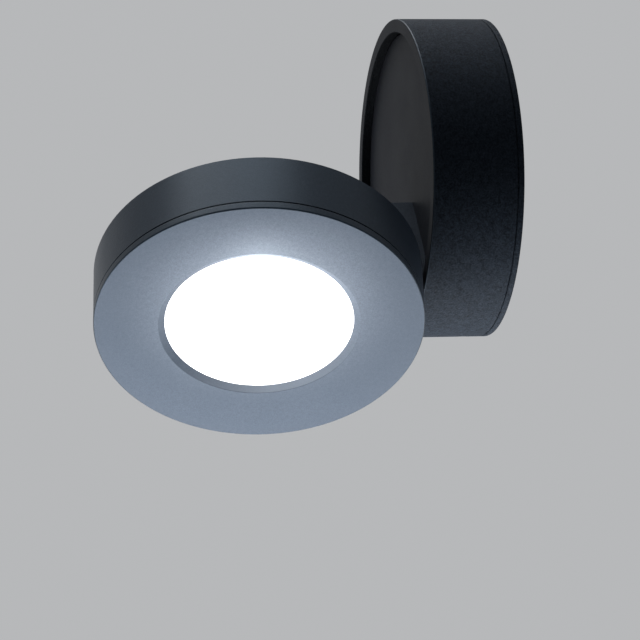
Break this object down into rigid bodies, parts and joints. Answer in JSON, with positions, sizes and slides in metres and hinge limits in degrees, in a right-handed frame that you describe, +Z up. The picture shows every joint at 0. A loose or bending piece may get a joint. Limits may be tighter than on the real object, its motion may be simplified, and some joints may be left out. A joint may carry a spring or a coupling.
{
  "type": "pivoting spotlight wall light",
  "caption": "Round wall base with a sunk turntable, a neck and a round disc-shaped lamp head that tilts and swivels to aim an LED spot.",
  "frame": {"origin": "centre of the base's wall face", "axes": "+Y into the wall (the base stands out along -Y), +Z up, +X to the right seen from the front"},
  "size_m": [0.1284, 0.1307, 0.1293],
  "materials": {
    "black_coat": "fine-textured matt black powder coat on die-cast aluminium",
    "plate_coat": "matt black powder coat on pressed steel",
    "zinc_steel": "bright zinc-plated steel",
    "black_steel": "black-oxide steel",
    "brass": "plain brass",
    "black_rubber": "matt black rubber",
    "white_silicone": "translucent white silicone",
    "thermal_silicone": "soft grey-blue thermal pad",
    "terminal_plastic": "off-white nylon",
    "driver_case": "white moulded supply case",
    "lead_jacket": "white lead insulation",
    "bearing_plastic": "natural acetal",
    "opal_diffuser": "opal acrylic, lit",
    "white_plastic": "white reflector plastic",
    "board_white": "white solder mask on aluminium",
    "led_phosphor": "phosphor-coated emitter"
  },
  "bodies": {
    "base": {"wall_plate": "plate_coat", "base_housing": "black_coat", "housing_screws": "black_steel", "cable_grommet": "black_rubber", "terminal_block": "terminal_plastic", "terminal_screws": "zinc_steel", "terminal_fixing_screw": "zinc_steel", "earth_screw": "brass", "led_driver": "driver_case", "supply_leads": "lead_jacket", "driver_lead": "lead_jacket", "slide_ring": "bearing_plastic", "stop_pin": "zinc_steel"},
    "swivel": {"turntable": "black_coat", "cone_washer": "zinc_steel", "snap_ring": "zinc_steel", "neck_block": "black_coat", "neck_screws": "zinc_steel", "neck_lead": "lead_jacket"},
    "head": {"head_shell": "black_coat", "hinge_pin": "black_steel", "hinge_nut": "black_steel", "friction_washers": "bearing_plastic", "ring_gasket": "black_rubber", "front_ring": "black_coat", "ring_screws": "black_steel", "diffuser": "opal_diffuser", "diffuser_gasket": "white_silicone", "reflector": "white_plastic", "led_board": "board_white", "led_chips": "led_phosphor", "thermal_pad": "thermal_silicone", "board_screws": "zinc_steel", "head_lead": "lead_jacket"}
  },
  "joints": [
    {"name": "swivel", "type": "hinge", "parent": "base", "child": "swivel", "pos_m": [0, 0, 0], "axis": [0, -1, 0], "range_deg": [-217.4, 132.6]},
    {"name": "tilt", "type": "hinge", "parent": "swivel", "child": "head", "pos_m": [0.02933, -0.035, -0.03212], "axis": [0.7385, 0, 0.6743], "range_deg": [-82.7, 0]}
  ]
}
